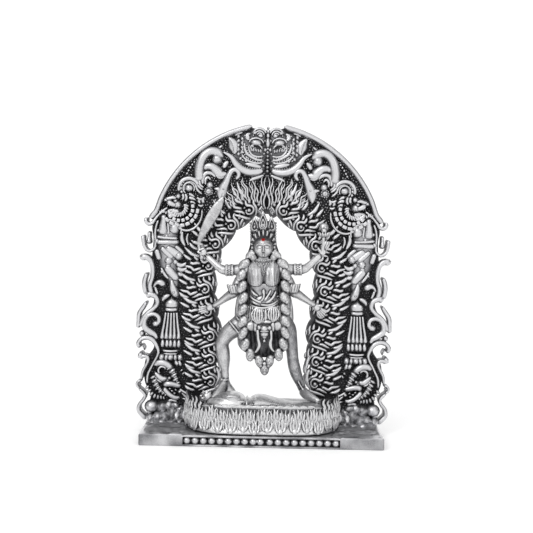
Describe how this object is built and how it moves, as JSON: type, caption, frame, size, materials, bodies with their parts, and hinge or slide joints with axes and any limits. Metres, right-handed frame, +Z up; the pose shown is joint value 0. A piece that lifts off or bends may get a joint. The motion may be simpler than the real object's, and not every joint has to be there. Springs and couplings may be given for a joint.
{
  "type": "kali figure",
  "caption": "Small cast shelf idol: a four-armed goddess standing on a lying figure over a ring of flames, in a pierced ornamental arch on a base slab.",
  "frame": {"origin": "centre of the base slab's underside", "axes": "+Z up through the arch, -Y out of the figure's front, +X to the viewer's right"},
  "size_m": [0.1, 0.035, 0.121],
  "materials": {
    "arch_silver": "antique silver over cast white metal, near-black oxide left in the carved recesses, tops rubbed bright",
    "figure_silver": "antique silver over cast white metal, dark oxide in the folds, smooth bright arms, face and sword, one small red forehead mark"
  },
  "bodies": {
    "root": {"arch_and_base": "arch_silver", "kali_group": "figure_silver"}
  },
  "joints": []
}
